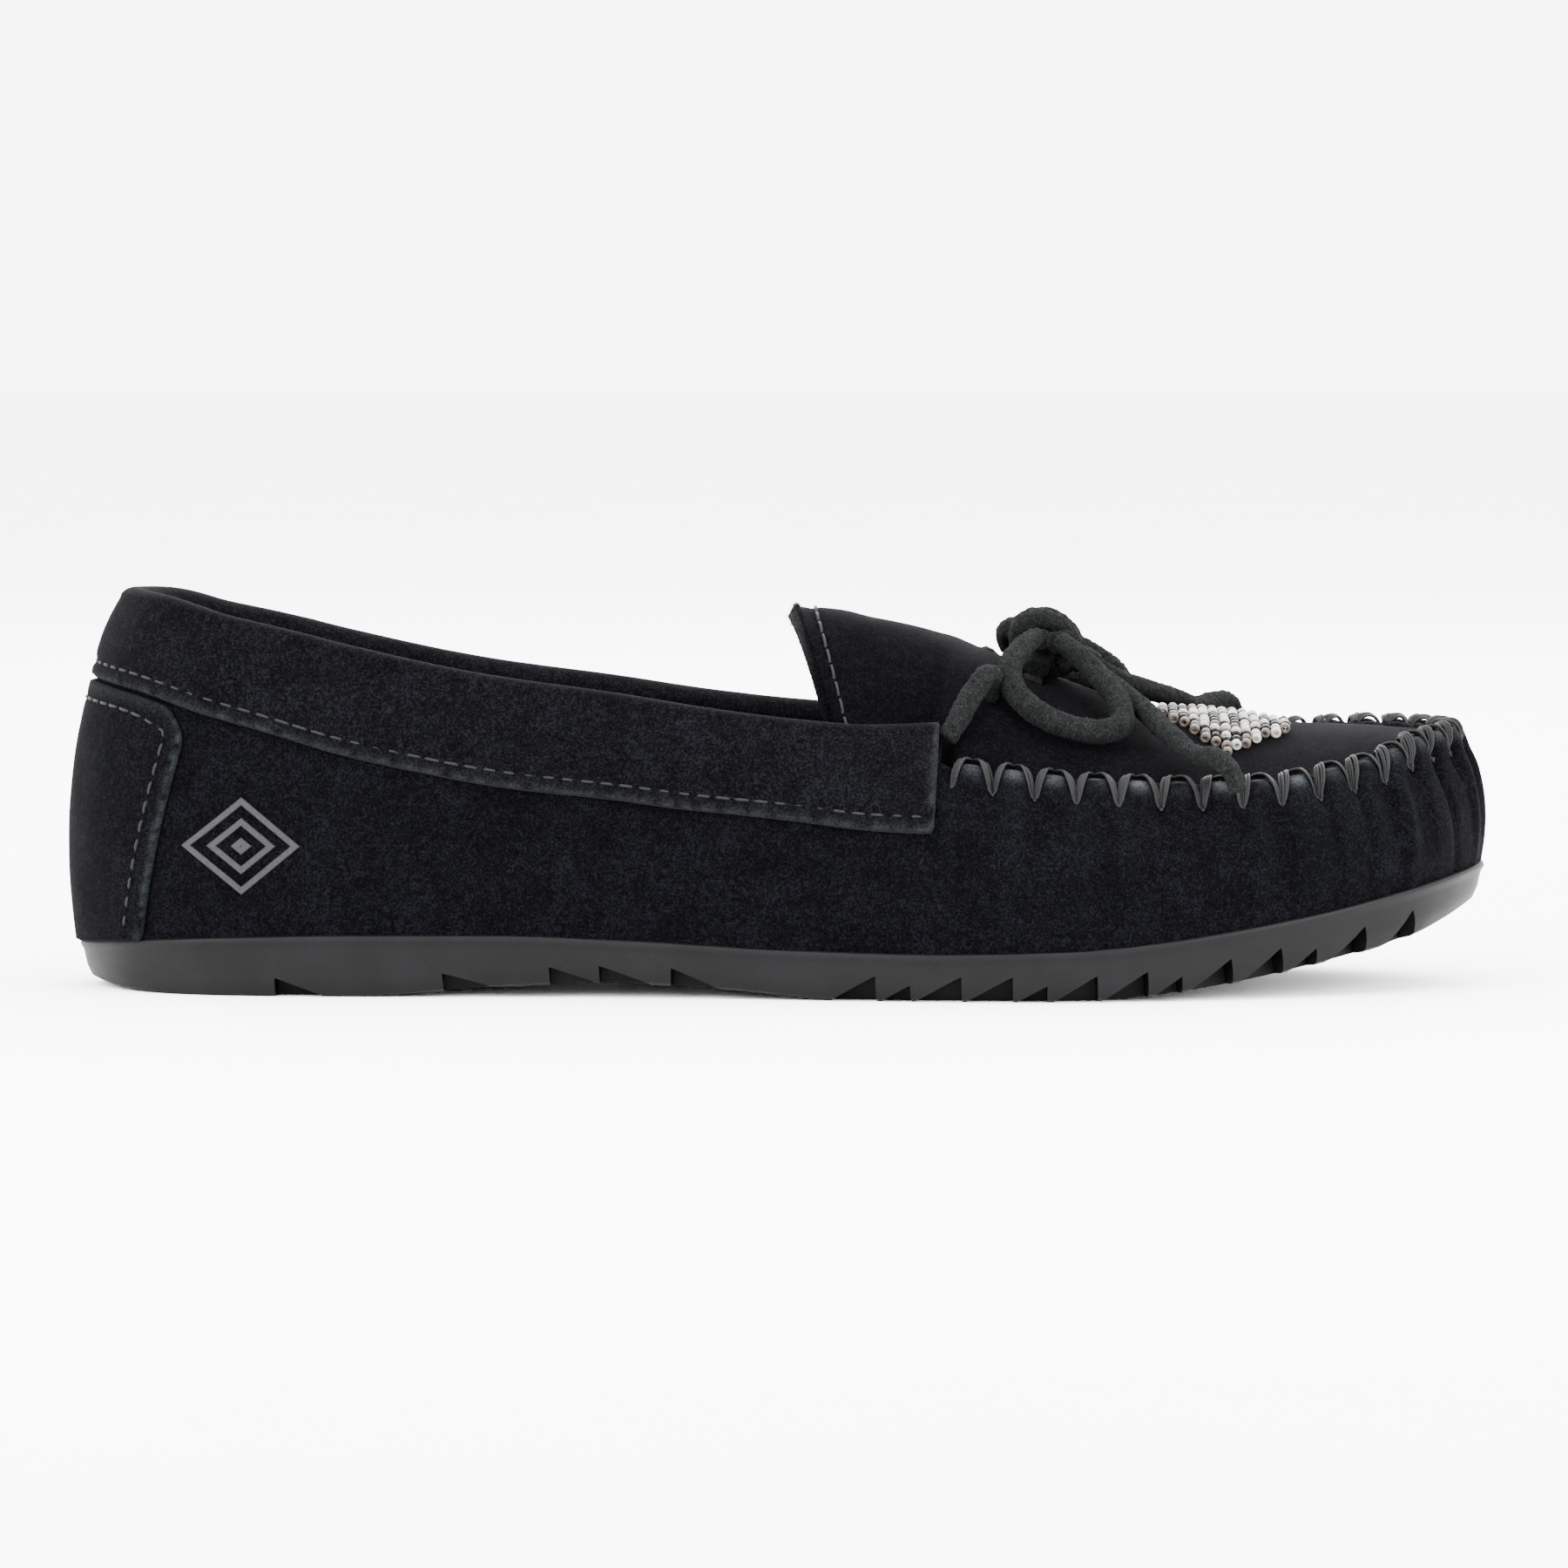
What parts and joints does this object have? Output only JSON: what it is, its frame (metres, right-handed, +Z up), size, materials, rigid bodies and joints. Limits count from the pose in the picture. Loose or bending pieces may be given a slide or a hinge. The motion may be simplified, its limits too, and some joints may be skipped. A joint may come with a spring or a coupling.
{
  "type": "moccasin",
  "caption": "Low suede slip-on shoe with a gathered toe seam, a separate plug and tongue, a folded collar that carries a tied lace, and a notched rubber sole.",
  "frame": {"origin": "centre of the shoe's box, on the floor it stands on", "axes": "+X to the toe, +Y to the inner side of the foot, +Z up; outer side faces -Y"},
  "size_m": [0.2575, 0.0873, 0.072],
  "materials": {
    "suede": "napped, matte",
    "suede_raw": "napped, matte, with a brushed raw edge",
    "lace_suede": "napped, matte",
    "lining_cloth": "brushed cloth",
    "foam": "foam",
    "fibre_board": "pressed fibre",
    "cork_filler": "granulated cork",
    "thread": "waxed thread",
    "glass_beads": "glossy small beads",
    "rubber_sole": "moulded, satin"
  },
  "bodies": {
    "shoe": {"outsole": "rubber_sole", "bottom_filler": "cork_filler", "insole_board": "fibre_board", "wrapper": "suede", "collar_band": "suede", "heel_patch": "suede_raw", "heel_counter": "fibre_board", "quarter_lining": "lining_cloth", "vamp_lining": "lining_cloth", "plug": "suede", "plug_lining": "lining_cloth", "lace_in_collar": "lace_suede", "lace_outer_run": "lace_suede", "lace_inner_run": "lace_suede", "lace_outer_loop": "lace_suede", "lace_inner_loop": "lace_suede", "lace_outer_tail": "lace_suede", "lace_inner_tail": "lace_suede", "lace_knot": "lace_suede", "seam_thread": "thread", "collar_stitching": "thread", "patch_stitching": "thread", "bead_trim": "glass_beads"},
    "tongue": {"tongue": "suede", "tongue_lining": "lining_cloth", "tongue_stitching": "thread"},
    "footbed": {"footbed_foam": "foam", "footbed_cover": "lining_cloth"}
  },
  "joints": [
    {"name": "tongue_lift", "type": "hinge", "parent": "shoe", "child": "tongue", "pos_m": [0.0284, 0, 0.0634], "axis": [0, 1, 0], "range_deg": [0, 20], "stiffness_Nm_per_rad": 0.02},
    {"name": "footbed_lift", "type": "hinge", "parent": "shoe", "child": "footbed", "pos_m": [0.1215, 0.004, 0.0265], "axis": [0, 1, 0], "range_deg": [0, 4]}
  ]
}
